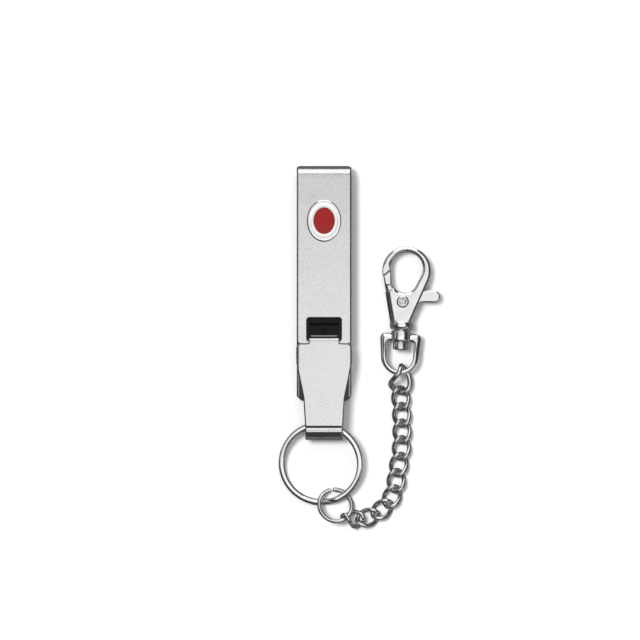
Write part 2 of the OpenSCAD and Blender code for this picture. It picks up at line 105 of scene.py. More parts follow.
class HookSizes(PropertyGroup):
    """Sizes of the snap hook"""

    edge: length("Cast edge", "Rounding of the cast body's edges", 0.7, 0.05, 0.8)
    thickness: length("Body thickness", "Thickness of the hook's body", 4.4, 2.0)
    lever: length("Lever thickness", "Thickness of the lever", 2.0, 1.0)


class Colours(PropertyGroup):
    """Colours of the finishes"""

    steel: opaque("Satin steel", "Colour of the strips", 0.69, 0.69, 0.69)
    nickel: opaque("Bright nickel", "Colour of the rings and the chain", 0.74, 0.74, 0.735)
    cast: opaque("Cast nickel", "Colour of the snap hook", 0.9, 0.9, 0.9)
    enamel: opaque("Enamel", "Colour of the badge's enamel", 0.275, 0.010, 0.009)
    spring: opaque("Spring", "Colour of the keeper spring", 0.016, 0.016, 0.017)
    floor: opaque("Floor", "Colour of the floor", 0.1, 0.1, 0.1)


# Surfaces, worked out as whole arrays

DROP = 0.66  # how far a rounded edge falls, for each unit that it goes in
SLOPED = 1.5  # how far an edge's rounding is towards a plain slope
TINY = 1e-12  # stands for a cross product of nought, so that nothing is divided by nought


def at_heights(xy, z):
    """Rings of points in a plane, each with its height."""
    return np.concatenate([xy, np.broadcast_to(z, xy.shape[:2] + (1,))], -1)


def unit(v):
    """Each vector over its own length."""
    v = np.asarray(v, float)
    return v / np.linalg.norm(v, axis=-1, keepdims=True)


def turn(axis, degrees):
    """The matrix of a turn about the X, Y or Z axis: cosines on the two other axes, and sines across them."""
    c, s = math.cos(math.radians(degrees)), math.sin(math.radians(degrees))
    i, j = {"x": (1, 2), "y": (2, 0), "z": (0, 1)}[axis]
    m = np.eye(3)
    m[i, i] = m[j, j] = c
    m[j, i], m[i, j] = s, -s
    return m


def ways(degrees):
    """Unit vectors in a plane: the cosine and the sine of each angle."""
    a = np.radians(degrees)
    return np.stack([np.cos(a), np.sin(a)], -1)


def cross(u, v):
    """The cross product of vectors in a plane."""
    return u[..., 0] * v[..., 1] - u[..., 1] * v[..., 0]


def shares(offset, side, ray):
    """Where sides and rays meet: how far along the side and along the ray, as shares of each. Both lines are a start
    plus a share times a run, and the shares come from cross products with the offset between their starts."""
    bottom = cross(side, ray)
    bottom = np.where(np.abs(bottom) < TINY, TINY, bottom)
    return cross(offset, ray) / bottom, cross(offset, side) / bottom


def arc(centre, radius, start, end, n=12):
    """Points at equal angles on a circle's arc: the centre plus the radius times cosine and sine."""
    return np.array(centre) + radius * ways(np.linspace(start, end, n + 1))


def ellipse(rx, ry, n=128):
    """The points of an ellipse: each half axis times the cosine or the sine of the same angle."""
    return ways(np.arange(n) * 360 / n) * [rx, ry]


def wrapped(circles, n=144):
    """The line drawn tight round circles (x, y, radius): for each direction, the centre plus the radius along the
    direction, of the circle that reaches furthest that way."""
    d = ways(np.arange(n) * 360 / n)
    c = np.array(circles, float)
    best = np.argmax(d @ c[:, :2].T + c[:, 2], axis=1)
    points = c[best, :2] + c[best, 2:] * d
    return points[np.linalg.norm(points - np.roll(points, 1, 0), axis=1) > 1e-6]


def resampled(line, step):
    """The same open line with points added, so that no stretch is longer than the step."""
    s = np.r_[0, np.cumsum(np.linalg.norm(np.diff(line, axis=0), axis=1))]
    extra = [np.linspace(a, b, math.ceil((b - a) / step) + 1)[1:-1] for a, b in zip(s[:-1], s[1:])]
    at = np.unique(np.r_[s, np.concatenate(extra)])
    return np.stack([np.interp(at, s, line[:, k]) for k in range(line.shape[1])], -1)


def crossing(line, p, q):
    """Where the way from p towards q first meets an open line: (index of the line's stretch, the point)."""
    p, q = np.array(p, float), np.array(q, float)
    a, run = line[:-1], np.diff(line, axis=0)
    s, t = shares(p - a, run, q - p)
    ok = (s >= 0) & (s <= 1) & (t >= 0)
    i = int(np.argmin(np.where(ok, t, 1e9)))
    return i, a[i] + s[i] * run[i]


def inward(loop):
    """The way in from each point of an anticlockwise outline: the sum of its two sides' inward normals, as long as
    moves both sides in by one."""
    run = unit(np.roll(loop, -1, 0) - loop)
    normal = np.stack([-run[:, 1], run[:, 0]], -1)
    before = np.roll(normal, 1, 0)
    return (normal + before) / np.maximum(1 + (normal * before).sum(-1), 0.35)[:, None]


def cleared(loop, radius):
    """An anticlockwise outline without the points so near an outer corner that its edge, rounded over a radius, runs
    past them: those nearer than the radius times the tangent of half the angle by which the outline turns there."""
    run = unit(np.roll(loop, -1, 0) - loop)
    before = np.roll(run, 1, 0)
    straight = np.clip((run * before).sum(-1), -0.99, 1)
    sharp = (straight < 0.9) & (cross(before, run) > 0)
    reach = radius * np.sqrt((1 - straight) / (1 + straight))[sharp]
    near = (np.linalg.norm(loop[:, None] - loop[sharp][None], axis=-1) < reach * 1.04 + 0.02).any(1)
    return loop[~near | sharp]


def edge_arc(radius, drop=DROP, power=SLOPED):
    """A rounded edge's (inset, height) from the face to the wall: the sine and cosine of a quarter turn raised to a
    power, where one gives an ellipse and two a plain slope. It falls by less than it goes in, and has one more point
    on the face that keeps the face's shading flat."""
    rounded = radius * (1 - ways(np.linspace(0, 90, 7))[:, ::-1] ** power) * [1, drop]
    return np.r_[[[radius + 0.02, 0]], rounded]


def wall(low, high, r_low, r_high, drop=DROP, power=SLOPED):
    """A wall's (inset, z) from the low face up to the high face. An edge with no radius stays sharp."""
    edge = lambda r: edge_arc(r, drop, power) if r else np.zeros((1, 2))
    return np.r_[edge(r_low) + [0, low], (edge(r_high) * [1, -1] + [0, high])[::-1]]


class Shell:
    """Collects the surfaces of one piece, in millimetres."""

    def __init__(self):
        self.points, self.faces, self.count = [], [], 0

    def grid(self, rings, closed=False):
        """A skin over rings of points: point j of ring i is joined to its neighbours and to point j of the next ring.
        A closed skin joins the last ring to the first, and an open one gets a flat face on each end."""
        rings = np.asarray(rings, float)
        n, m = rings.shape[:2]
        i, j = np.arange(n if closed else n - 1)[:, None], np.arange(m)[None, :]
        corner = lambda a, b: (self.count + (a % n) * m + b % m).ravel()
        quads = np.stack([corner(i, j), corner(i, j + 1), corner(i + 1, j + 1), corner(i + 1, j)], -1)
        self.faces += quads.tolist()
        if not closed:
            self.faces.append((self.count + np.arange(m)[::-1]).tolist())
            self.faces.append((self.count + (n - 1) * m + np.arange(m)).tolist())
        self.points.append(rings.reshape(-1, 3))
        self.count += n * m
        return self

    def slab(self, loop, low, high, share=1.0, profile=None):
        """A plate from an anticlockwise outline, which is moved in by its wall's inset at each height. In the upper
        half each point takes its own share of the inset."""
        profile = np.array([[0, low], [0, high]] if profile is None else profile, float)
        part = np.where(profile[:, 1:] > (low + high) / 2, share, 1.0)
        xy = loop[None] + (profile[:, :1] * part)[..., None] * inward(loop)[None]
        return self.grid(at_heights(xy, profile[:, None, 1:]))

    def frame(self, outer, inner, low, high, radius, hole_radius, outer_way=None, drop=DROP):
        """A plate with a hole, from two outlines of as many points: at each pair, up one wall and down the other."""
        profile = wall(low, high, radius, radius, drop)
        hole_profile = wall(low, high, hole_radius, hole_radius, drop)
        out_way = inward(outer) if outer_way is None else outer_way
        rim = outer[:, None] + profile[None, :, :1] * out_way[:, None]
        hole = inner[:, None] - hole_profile[None, ::-1, :1] * inward(inner)[:, None]
        z = np.r_[profile[:, 1:], hole_profile[::-1, 1:]]
        return self.grid(at_heights(np.concatenate([rim, hole], 1), z)[::-1], closed=True)

    def strip(self, path, half, thick, radius, back=None, flat_end=False):
        """A flat strip bent along a path in Y and Z: at each station a rounded rectangle, as wide as the station says
        and square to the path. The function back gives how far each point goes back where the edges are bent. The
        ends are rounded too, but for a flat last end."""
        path, half = np.asarray(path, float), np.asarray(half, float)
        run = unit(np.gradient(path, axis=0))
        end = edge_arc(radius)
        n = len(end)
        inset = np.r_[end[:, 0], np.zeros(len(path) - 2), end[::-1, 0]]
        ahead = np.r_[end[:, 1], np.zeros(len(path) - 2), -end[::-1, 1]]
        station = np.r_[np.zeros(n, int), np.arange(1, len(path) - 1), np.full(n, len(path) - 1)]
        if flat_end:
            inset, ahead, station = [v[: 1 - n] for v in (inset, ahead, station)]
            inset[-1] = ahead[-1] = 0
        centre = path[station] + ahead[:, None] * run[station]
        normal = np.stack([-run[station, 1], run[station, 0]], -1)
        corner = ways(np.linspace(0, 90, 7))[:, ::-1] ** SLOPED
        k = np.maximum(radius - inset, 0)[:, None]
        w, t = half[station][:, None] - inset[:, None], thick / 2 - DROP * inset[:, None]
        across = np.array([0.30, 0.60, 0.80, 0.86, 0.90, 0.93, 0.96, 0.985])
        x = np.concatenate([across * (w - k), w - k - 0.02, w - k + k * corner[:, 0]], 1)
        y = np.concatenate([t + 0 * across, t + 0 * k, t - DROP * k + DROP * k * corner[:, 1]], 1)
        x, y = np.c_[x, x[:, ::-1], -x, -x[:, ::-1]], np.c_[y, -y[:, ::-1], -y, y[:, ::-1]]
        if back is not None:
            y = y - np.asarray(back(x, station))
        yz = centre[:, None] + y[..., None] * normal[:, None]
        return self.grid(np.concatenate([x[..., None], yz], -1))

    def tube(self, path, up, section, closed=False, rounded=0.0):
        """A bar along a path in space: the section's first side goes square to the path and to up, its second side
        towards up. Where the ends are rounded, the section shrinks over the last stretch as a quarter circle does."""
        path = np.asarray(path, float)
        run = unit(np.roll(path, -1, 0) - np.roll(path, 1, 0) if closed else np.gradient(path, axis=0))
        side = unit(np.cross(run, up))
        rise = np.cross(side, run)
        section = np.broadcast_to(section, (len(path),) + np.shape(section)[-2:])
        if rounded:
            s = np.r_[0, np.cumsum(np.linalg.norm(np.diff(path, axis=0), axis=1))]
            left = np.minimum(np.minimum(s, s[-1] - s) / rounded, 1)
            section = section * np.maximum(np.sqrt(1 - (1 - left) ** 2), 0.25)[:, None, None]
        points = path[:, None] + section[..., :1] * side[:, None] + section[..., 1:] * rise[:, None]
        return self.grid(points, closed=closed)

    def lathe(self, profile, m=64, hollow=False):
        """A turned piece about Y: each (radius, y) of the profile goes round once, as cosine and sine. A hollow one's
        profile is a closed line."""
        profile = np.asarray(profile, float)
        ring = np.insert(ellipse(1, 1, m), 1, 0, -1)
        return self.grid(profile[:, None, :1] * ring[None] + profile[:, None, 1:] * [0, 1, 0], closed=hollow)

    def add(self, other):
        """Takes over another shell's surfaces."""
        self.faces += [[k + self.count for k in face] for face in other.faces]
        self.points += other.points
        self.count += other.count
        return self

    def moved(self, matrix, place=(0, 0, 0)):
        """Turns and moves all points so far."""
        self.points = [p @ np.asarray(matrix).T + np.asarray(place) for p in self.points]
        return self

    def make(self, name, node, finish, material, body=None, sharp=38):
        """Puts the surfaces into one mesh, in metres, with edges sharper than the angle kept sharp."""
        mesh = bpy.data.meshes.new(name)
        mesh.from_pydata((np.concatenate(self.points) * MM).tolist(), [], self.faces)
        mesh.validate()
        mesh.polygons.foreach_set("use_smooth", np.ones(len(mesh.polygons), bool))
        mesh.set_sharp_from_angle(angle=math.radians(sharp))
        mesh.materials.append(material)
        piece = bpy.data.objects.new(name, mesh)
        bpy.context.scene.collection.objects.link(piece)
        even = piece.modifiers.new("flat faces", "WEIGHTED_NORMAL")
        even.weight, even.keep_sharp = 50, True
        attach(piece, body or node)
        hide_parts(node)


def matched(outer, inner, centre, apart=0.02):
    """Two outlines of as many points, where the same rays from a centre meet them: the rays go to the points of
    both, some degrees apart or more."""
    centre = np.array(centre, float)
    angle = lambda loop: np.degrees(np.arctan2(*(loop - centre).T[::-1])) % 360
    rays = np.sort(np.r_[angle(outer), angle(inner)])
    rays = rays[np.r_[True, np.diff(rays) > apart]]
    d = ways(rays)

    def meet(loop):
        a = loop - centre
        s, t = shares(-a[None], (np.roll(a, -1, 0) - a)[None], d[:, None])
        t = np.where((s >= -1e-7) & (s <= 1 + 1e-7) & (t > 0), t, 1e9)
        return centre + t.min(1)[:, None] * d

    return meet(outer), meet(inner)


# Shader maths as expressions


class Value:
    """A socket that takes part in sums."""

    def __init__(self, paint, socket):
        self.paint, self.socket = paint, socket

    def _math(self, operation, a, b):
        return self.paint.node("ShaderNodeMath", {0: a, 1: b}, operation=operation)

    def __add__(self, other):
        return self._math("ADD", self, other)

    def __radd__(self, other):
        return self._math("ADD", other, self)

    def __sub__(self, other):
        return self._math("SUBTRACT", self, other)

    def __rsub__(self, other):
        return self._math("SUBTRACT", other, self)

    def __mul__(self, other):
        return self._math("MULTIPLY", self, other)


class Paint:
    """A material's nodes."""

    def __init__(self, name):
        self.material = bpy.data.materials.new(name)
        self.material.use_nodes = True
        self.tree = self.material.node_tree
        self.tree.nodes.clear()

    def node(self, kind, inputs, out=0, **settings):
        """Adds a node with its settings and the values or links of its sockets, and gives back one output, if any."""
        node = self.tree.nodes.new(kind)
        for key, value in settings.items():
            setattr(node, key, value)
        for key, value in inputs.items():
            if isinstance(value, Value):
                self.tree.links.new(value.socket, node.inputs[key])
            else:
                node.inputs[key].default_value = value
        return None if out is None else Value(self, node.outputs[out])

    def place(self, scale):
        """The place on the object, in millimetres times a scale, or a scale for each axis."""
        where = self.node("ShaderNodeTexCoord", {}, "Object")
        return self.node("ShaderNodeMapping", {"Vector": where, "Scale": np.broadcast_to(scale, 3) / MM})

    def along(self, axis):
        """The place along one axis, in millimetres."""
        return self.node("ShaderNodeSeparateXYZ", {0: self.place(1)}, axis)

    def noise(self, scale, detail=4.0, rough=0.55):
        """Noise over the object, with a scale in cycles for each millimetre."""
        inputs = {"Vector": self.place(scale), "Scale": 1.0, "Detail": detail, "Roughness": rough}
        return self.node("ShaderNodeTexNoise", inputs)

    def mix(self, share, a, b):
        """A colour between two."""
        return self.node("ShaderNodeMix", {0: share, 6: a, 7: b}, 2, data_type="RGBA")

    def ramp(self, value, low, high, to_low=0.0, to_high=1.0):
        """A value spread from one range to another, and kept in it."""
        return self.node("ShaderNodeMapRange", {0: value, 1: low, 2: high, 3: to_low, 4: to_high})

    def bump(self, height, strength, distance):
        """The normal that a height gives, with a distance in millimetres."""
        return self.node("ShaderNodeBump", {"Height": height, "Strength": strength, "Distance": distance * MM})

    def finished(self, shader):
        """Ends in a shader, and gives back the material."""
        self.node("ShaderNodeOutputMaterial", {"Surface": shader}, None)
        return self.material

    def surface(self, inputs):
        """Ends in a Principled shader."""
        return self.finished(self.node("ShaderNodeBsdfPrincipled", inputs))


def shade(colour, k):
    """A colour, darker or lighter."""
    return tuple(min(1.0, c * k) for c in colour[:3]) + (1.0,)


def satin_steel(name, colour, rough=0.2, painted_shade_below=0.0):
    """Satin plate: blasted grain with faint lines along the strip, cloudy patches in the gloss, and a few fine
    scratches. Below a height, away from the strip's edges, it is duller and has painted shade: a far darker colour
    that stands in for the shadow on the back leaf's inner face."""
    p = Paint(name)
    grain = p.noise((2.4, 2.0, 2.4), 3.0, 0.6)
    lines = p.noise((7.0, 0.5, 7.0), 2.0)
    cloud = p.noise(0.12, 3.0)
    scratch = p.ramp(p.noise((14.0, 1.1, 5.0), 2.0), 0.68, 0.73)
    tone = p.ramp(grain, 0.36, 0.64, 0.0, 0.75) + p.ramp(cloud, 0.35, 0.65, 0.0, 0.25)
    base = p.mix(tone, shade(colour, 0.87), shade(colour, 1.07))
    rough = p.ramp(cloud, 0.3, 0.7, rough - 0.02, rough + 0.02) + scratch * 0.04
    if painted_shade_below:
        # Painted shade: away from the edges and below the height, the colour falls to 0.13 of the steel's and the
        # gloss dulls, standing in for the shadow on the back leaf's inner face.
        x, z = p.along("X"), p.along("Z")
        painted_shade = p.ramp(z, painted_shade_below, painted_shade_below + 0.1, 1.0, 0.0) * p.ramp(x * x, 7.3**2, 7.75**2, 1.0, 0.0)
        base = p.mix(painted_shade, base, shade(colour, 0.13))
        rough = rough + painted_shade * 0.2
    return p.surface({
        "Base Color": base,
        "Metallic": 1.0,
        "Roughness": rough,
        "Normal": p.bump(grain * 0.8 + lines * 0.2 - scratch * 0.2, 0.16, 0.006),
    })


def plated(p, colour, haze, dark, rough, pits, normal):
    """Ends in plated metal, which is a little darker and glossier in the haze's hollows, and dull in its pits."""
    return p.surface({
        "Base Color": p.mix(p.ramp(haze, 0.35, 0.65), shade(colour, dark), shade(colour, 1.03)),
        "Metallic": 1.0,
        "Roughness": p.ramp(haze, 0.3, 0.7, rough - 0.03, rough + 0.05) + pits,
        "Normal": normal,
    })


def bright_nickel(name, colour, rough=0.11):
    """Polished plate: tumbling marks as soft dents, fine haze, and slightly darker hollows."""
    p = Paint(name)
    dent = p.noise(0.9, 2.0)
    haze = p.noise(0.35, 4.0)
    pit = p.ramp(p.noise(5.0, 2.0), 0.68, 0.75)
    return plated(p, colour, haze, 0.94, rough, pit * 0.08, p.bump(dent - pit * 0.2, 0.25, 0.02))


def cast_nickel(name, colour, rough=0.16):
    """Plated casting: a slow swell under the plate, orange peel, and small pits."""
    p = Paint(name)
    swell = p.noise(0.45, 1.5)
    peel = p.noise(3.2, 2.0)
    haze = p.noise(0.22, 3.0)
    pit = p.ramp(p.noise(6.5, 1.0), 0.72, 0.78)
    return plated(p, colour, haze, 0.95, rough, pit * 0.1, p.bump(swell + peel * 0.06 - pit * 0.04, 0.14, 0.03))


def black_spring(name, colour):
    """Blackened spring steel: rolled lines, an oily haze, bare metal in random worn patches, and a painted
    highlight: a line of bare metal's colour along the tab's end that stands in for the reflection on its edge.
    """
    p = Paint(name)
    lines = p.noise((9.0, 0.5, 9.0), 3.0)
    # Painted highlight: the tab's end gets a line in bare metal's colour, standing in for the reflection on its edge;
    # the noise patches are real wear.
    end = p.ramp(p.along("Y"), -15.45, -15.3, 0.8, 0.0)
    worn_and_painted_light = p.ramp(p.noise((0.8, 0.5, 0.8), 4.0), 0.64, 0.72, 0.0, 0.2) + end
    return p.surface({
        "Base Color": p.mix(worn_and_painted_light, colour, (0.30, 0.30, 0.30, 1)),
        "Metallic": 1.0,
        "Roughness": 0.34 - worn_and_painted_light * 0.2,
        "Normal": p.bump(lines, 0.2, 0.008),
    })


def red_enamel(name, colour):
    """Fired enamel: an even colour with a deeper cloud under a clear, slightly wavy coat."""
    p = Paint(name)
    cloud = p.noise(0.5, 4.0)
    wave = p.noise(0.8, 1.0)
    speck = p.ramp(p.noise(9.0, 1.0), 0.70, 0.74)
    return p.surface({
        "Base Color": p.mix(p.ramp(cloud, 0.35, 0.65), shade(colour, 0.92), shade(colour, 1.06)),
        "Roughness": 0.3 + speck * 0.2,
        "Specular IOR Level": 0.0,
        "Coat Weight": 0.5,
        "Coat Roughness": 0.04,
        "Normal": p.bump(wave, 0.2, 0.03),
    })


WHITE_REFLECTED = 0.04  # the share of the floor's white that metal reflects


def white_floor(name, colour):
    """A grey table top. The camera and rays through glass see it as white, with the shadow on it. Metal reflects a
    small share of that white, so that its dark outlines stay dark."""
    p = Paint(name)
    path = lambda out: p.node("ShaderNodeLightPath", {}, out)
    through = path("Is Camera Ray") + path("Is Transmission Ray")
    grain = p.noise(0.02, 2.0)
    table = p.mix(p.ramp(grain, 0.4, 0.6), shade(colour, 0.99), shade(colour, 1.01))
    seen = p.mix(p.ramp(through, 0.0, 1.0), table, (0.95, 0.95, 0.95, 1))
    cloth = p.node("ShaderNodeBsdfDiffuse", {"Color": seen})
    white = p.node("ShaderNodeEmission", {"Color": (1, 1, 1, 1), "Strength": 1.0})
    reflected = p.ramp(path("Is Glossy Ray"), 0.0, 1.0, 0.0, WHITE_REFLECTED)
    return p.finished(p.node("ShaderNodeMixShader", {0: reflected, 1: cloth, 2: white}))


# Places and sizes, in millimetres, from the frame and the photograph

TOP_Y, BOTTOM_Y = 34.8, -34.8  # the clip's ends
FRONT_Y = TOP_Y - 52.86  # the front leaf's lower end
STRIP_HALF = 8.1  # half the strip's width
LEAF_TOP = 7.0  # the front leaf's upper face
WINDOW_Y, WINDOW_W, WINDOW_H = FRONT_Y + 0.97, 10.3, 7.0
BADGE_Y = 18.5
BADGE_HALF, ENAMEL_HALF = np.array([5.1, 6.25]), np.array([3.13, 3.93])
TONGUE_Y = -16.04  # the upper side of the hanger's tongue
KEY_RING_R, JUMP_RING_R = 12.46, 5.55
LINK_HALF = (3.89, 2.89)  # half a link's length and width
HALF_PITCH = 2.465  # half the way from one link to the next
KEY_RING = joint_place("jump_ring_travel")
JUMP_RING = joint_place("link_11_travel")
EYE = joint_place("key_ring_swing")
HOOK = joint_place("gate_press")
HOLD = joint_place("bail_turn")
SPIN, PRESS = joint_axis("hook_swivel"), -joint_axis("gate_press")
HOOK_FRAME = np.stack([np.cross(SPIN, PRESS), SPIN, PRESS], -1)
RING_TILT = turn("y", -5.7) @ turn("x", 8.9)
JUMP_TILT = turn("y", 12.2) @ turn("x", -20)
UP = np.array([0, 0, 1.0])


def round_rect(w, h, r, centre=(0, 0), n=8):
    """A rectangle with round corners, anticlockwise: four quarter arcs."""
    x, y = w / 2 - r, h / 2 - r
    corners = [((x, -y), -90), ((x, y), 0), ((-x, y), 90), ((-x, -y), 180)]
    return np.concatenate([arc(c, r, a, a + 90, n) for c, a in corners]) + np.array(centre)


def build_clip(scene):
    """The folded strip: the back leaf and the fold as one strip, and the front leaf as a plate with its window."""
    t, edge, fold = scene.clip_sizes.strip / MM, scene.clip_sizes.edge / MM, LEAF_TOP / 2
    end, corner_r, top_r, join = 1.3, 1.05, 0.7, TOP_Y - fold - 1.2
    y = np.r_[0, np.linspace(0.02, 1.0, 6) * end, np.linspace(3, TOP_Y - fold - 0.01 - BOTTOM_Y, 18)] + BOTTOM_Y
    bend = arc((TOP_Y - fold, fold), fold - t / 2, -90, 90, 44)
    front = LEAF_TOP - t / 2
    path = np.r_[np.stack([y, np.full(len(y), t / 2)], -1), bend, [[join + 1.1, front], [join, front]]]
    half = np.full(len(path), STRIP_HALF)
    half[: len(y)] -= np.clip(1 - (y - BOTTOM_Y) / end, 0, 1) * 1.5
    shell = Shell().strip(path, half, t, edge, flat_end=True)
    points = shell.points[0]
    over = np.clip((points[:, 1] - (TOP_Y - top_r)) / top_r, 0, 1)
    points[:, 0] *= 1 - top_r / STRIP_HALF * (1 - np.sqrt(1 - over**2))
    x = STRIP_HALF - corner_r
    low = [arc((s * x, FRONT_Y + corner_r), corner_r, a, a + 90, 10) for s, a in ((-1, 180), (1, 270))]
    x = [STRIP_HALF, STRIP_HALF - 0.06 - edge, edge + 0.06 - STRIP_HALF, -STRIP_HALF]
    outline = np.concatenate([*low, np.stack([x, np.full(4, join)], -1)])
    middle = (0, WINDOW_Y + WINDOW_H / 2)
    outer, inner = matched(outline, round_rect(WINDOW_W, WINDOW_H, 0.8, middle), middle, 0.4)
    way = inward(outer)
    at_join = outer[:, 1] > join - 1e-4
    side = np.abs(outer[:, 0]) > STRIP_HALF - 1e-3
    way[at_join] = 0
    way[at_join & side, 0] = -np.sign(outer[at_join & side, 0])
    shell.frame(outer, inner, LEAF_TOP - t, LEAF_TOP, edge, 0.2, way)
    # Painted shade on the back leaf's inner face, below 0.92 mm.
    satin = satin_steel("clip_satin", scene.clip_colours.steel, painted_shade_below=0.92)
    shell.make("belt_clip_strip", "belt_clip", "clip_steel", satin)


def level_rings(loop, halves, heights):
    """One loop at several sizes and heights: each ring is the loop times its two half sizes, at its height."""
    return at_heights(loop[None] * halves[:, None], np.reshape(heights, (-1, 1, 1)))


# The badge's rim as shares of its half sizes and heights, then what its field's edge adds to the enamel's half sizes
BADGE_RIM = np.array([(1, 0), (1, 0.42), (0.985, 0.6), (0.955, 0.72), (0.915, 0.78), (0.875, 0.8), (0.83, 0.78),
                      (0.79, 0.735), (0.76, 0.7), (0.73, 0.69)])
BADGE_FIELD = np.array([(0.3, 0.7), (0.16, 0.745), (0.08, 0.745), (0, 0.7), (0, 0.4)])
# Profiles of turned pieces, as (radius, height)
BADGE_POST = [(1e-3, 7.2), (0.6, 7.2), (0.6, 5.4), (1.02, 5.4), (1.1, 5.3), (1.06, 5.17), (0.9, 5.1), (1e-3, 5.1)]
RIVET_SIDE = [(1e-3, 2.26), (0.3, 2.26), (0.5, 2.26), (0.6, 2.26), (0.66, 2.27), (1, 2.41), (1.06, 2.435),
              (1.12, 2.44), (1.2, 2.44), (1.32, 2.44), (1.4, 2.44), (1.46, 2.42), (1.96, 2.12), (2, 2.1), (1, 2.1)]
BARREL = [(1.5, -8.6), (2.5, -8.57), (2.75, -8.66), (2.88, -8.9), (2.9, -9.2), (2.9, -11), (2.86, -11.45),
          (2.7, -11.68), (2.4, -11.75), (1.5, -11.75)]
PIN = [(1e-3, -5), (1.4, -5), (1.4, -12), (2, -12), (2.15, -12.08), (2.2, -12.3), (2.2, -13.7), (2.12, -14),
       (1.9, -14.15), (1.5, -14.2), (1e-3, -14.2)]


def build_badge(scene):
    """The badge: an oval plate with a raised rim, a domed field of enamel, and two riveted posts at its back."""
    oval, base = ellipse(1, 1), LEAF_TOP + 0.4
    halves = np.r_[BADGE_RIM[:, :1] * BADGE_HALF, BADGE_FIELD[:, :1] + ENAMEL_HALF]
    shell = Shell().grid(level_rings(oval, halves, np.r_[BADGE_RIM[:, 1], BADGE_FIELD[:, 1]]))
    shell.moved(np.eye(3), (0, BADGE_Y, LEAF_TOP))
    for x in (-2.2, 2.2):
        shell.add(Shell().lathe(BADGE_POST, 32).moved(turn("x", 90), (x, BADGE_Y, 0)))
    # Painted highlight: the badge's nickel is made 1.2 times lighter than the chain's, a lighter copy that stands in
    # for the bright light on its rim.
    lit_nickel = bright_nickel("badge_lit_nickel", shade(scene.clip_colours.nickel, 1.2), 0.16)
    shell.make("badge_oval", "badge_plate", "badge_metal", lit_nickel, "belt_clip")
    share = np.maximum(np.sin(np.radians(np.linspace(0, 90, 12)))[::-1], 0.02)
    height = base + 0.20 * np.sqrt(1 - (share * 0.9) ** 2) ** 0.6
    rings = level_rings(oval, share[:, None] * (ENAMEL_HALF - 0.01), height)
    skirt = rings[:1] * [1, 1, 0] + [0, 0, base]
    dome = Shell().grid(np.concatenate([skirt, rings])).moved(np.eye(3), (0, BADGE_Y, 0))
    red = red_enamel("enamel_red", scene.clip_colours.enamel)
    dome.make("badge_enamel_field", "badge_enamel", "enamel", red, "belt_clip")


def build_keeper(scene):
    """The keeper spring: a thin strip that steps forward into the window, with a pressed dimple on its tab."""
    t, top, step, end_r, dimple_r = scene.clip_sizes.keeper_strip / MM, 5.95, 0.55, 0.8, 0.96
    end_y = TONGUE_Y + 0.3
    step_y = end_y + 3.3
    low, high = top - t / 2, top + step - t / 2
    line = [[end_y, high], [step_y, high], [step_y + step, low], [BADGE_Y + 1.8, low]]
    path = resampled(np.array(line), 0.5)
    near = np.clip((end_y + end_r - path[:, 0]) / end_r, 0, 1)
    shell = Shell().strip(path, 4.45 - end_r * (1 - np.sqrt(1 - near**2)), t, 0.08)
    r = np.array([dimple_r, 0.9, 0.8, 0.65, 0.45, 0.25, 0.02])
    height = top + step + 0.18 * np.cos(np.radians(r / dimple_r * 90)) ** 0.8 - 0.005
    shell.grid(level_rings(ellipse(1, 1, 40), np.stack([r, r], -1), height) + [0, end_y + 1.7, 0])
    black = black_spring("spring_black", scene.clip_colours.spring)
    shell.make("keeper_leaf", "keeper_spring", "spring_steel", black)


